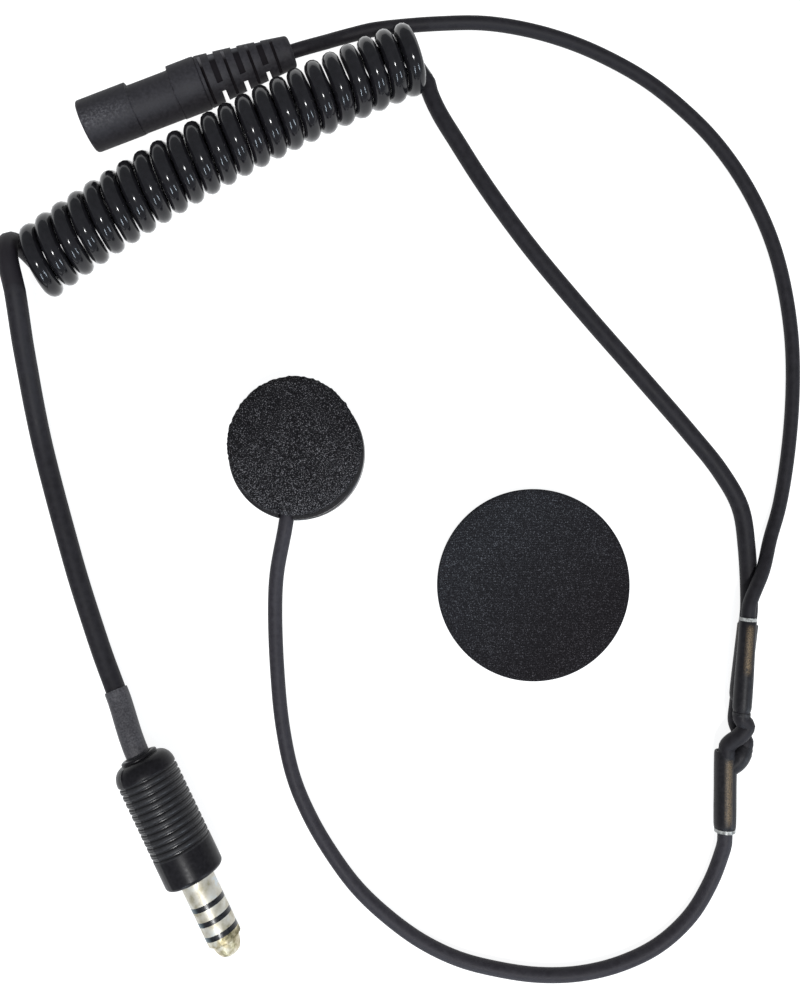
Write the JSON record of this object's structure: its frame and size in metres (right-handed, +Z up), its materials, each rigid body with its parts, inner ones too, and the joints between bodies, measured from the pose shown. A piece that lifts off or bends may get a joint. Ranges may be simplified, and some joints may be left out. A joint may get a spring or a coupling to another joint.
{
  "type": "aviation headset cord set",
  "caption": "Helmet headset cord set: foam-faced round earphone, curly cord with a ringed plug, shrink-sleeved splice, in-line socket and loose fixing disc.",
  "frame": {"origin": "middle of the back of the earphone, on the surface that the set lies on", "axes": "+X from the earphone to the loose disc and the splice, +Y from the plug towards the coil, +Z up from the surface"},
  "size_m": [0.1661, 0.2054, 0.0148],
  "materials": {
    "black_plastic": "satin",
    "black_foam": "open-cell foam, matte",
    "hook_tape": "matte",
    "cord_jacket": "satin",
    "gloss_cord": "glossy",
    "shrink_sleeve": "satin",
    "set_glue": "cloudy",
    "moulded_black": "semi-gloss",
    "moulded_charcoal": "matte",
    "nickel": "polished",
    "insulator_grey": "satin",
    "spring_brass": "satin",
    "plated_steel": "plated",
    "magnet_black": "sintered",
    "green_board": "satin",
    "copper_winding": "enamelled copper",
    "amber_film": "thin film",
    "white_adhesive": "satin",
    "black_knit": "knitted loop, matte"
  },
  "bodies": {
    "set": {"hook_disc": "hook_tape", "capsule_cup": "black_plastic", "capsule_grille": "black_plastic", "foam_pad": "black_foam", "cable_grommet": "cord_jacket", "basket_ring": "black_plastic", "magnet_yoke": "plated_steel", "magnet": "magnet_black", "pole_plate": "plated_steel", "terminal_board": "green_board", "disc_adhesive": "white_adhesive", "disc_foam": "black_foam", "disc_fabric": "black_knit", "earphone_lead": "cord_jacket", "lower_glue_ring": "set_glue", "lower_sleeve": "shrink_sleeve", "twist_lead_a": "cord_jacket", "twist_lead_b": "cord_jacket", "middle_glue_ring": "set_glue", "upper_sleeve": "shrink_sleeve", "upper_glue_ring": "set_glue", "splice_lead": "cord_jacket", "coil": "gloss_cord", "socket_lead": "cord_jacket", "socket_relief": "moulded_charcoal", "socket_shell": "moulded_charcoal", "socket_bush": "nickel", "contact_block": "insulator_grey"},
    "plug_end": {"plug_lead": "cord_jacket", "plug_boot": "shrink_sleeve", "plug_handle": "moulded_black", "sleeve_contact": "nickel", "rear_insulator": "insulator_grey", "rear_ring_contact": "nickel", "middle_insulator": "insulator_grey", "front_ring_contact": "nickel", "front_insulator": "insulator_grey", "tip_contact": "nickel", "barrel_core": "insulator_grey"},
    "diaphragm_unit": {"diaphragm": "amber_film", "voice_coil": "copper_winding"},
    "tip_leaf": {"tip_spring": "spring_brass"},
    "ring_leaf": {"ring_spring": "spring_brass"}
  },
  "joints": [
    {"name": "coil_stretch", "type": "slide", "parent": "set", "child": "plug_end", "axis": [-0.8755, -0.4833, 0], "range_m": [0, 0.12], "stiffness_N_per_m": 25, "deforming": ["coil"]},
    {"name": "diaphragm_travel", "type": "slide", "parent": "set", "child": "diaphragm_unit", "axis": [0, 0, 1], "range_m": [-0.0003, 0.0003], "stiffness_N_per_m": 500},
    {"name": "tip_spring_flex", "type": "hinge", "parent": "set", "child": "tip_leaf", "pos_m": [-0.02934, 0.07349, 0.00838], "axis": [-0.3584, 0.9336, 0], "range_deg": [0, 5], "stiffness_Nm_per_rad": 0.05},
    {"name": "ring_spring_flex", "type": "hinge", "parent": "set", "child": "ring_leaf", "pos_m": [-0.02934, 0.07349, 0.00228], "axis": [0.3584, -0.9336, 0], "range_deg": [0, 3.3], "stiffness_Nm_per_rad": 0.05}
  ]
}
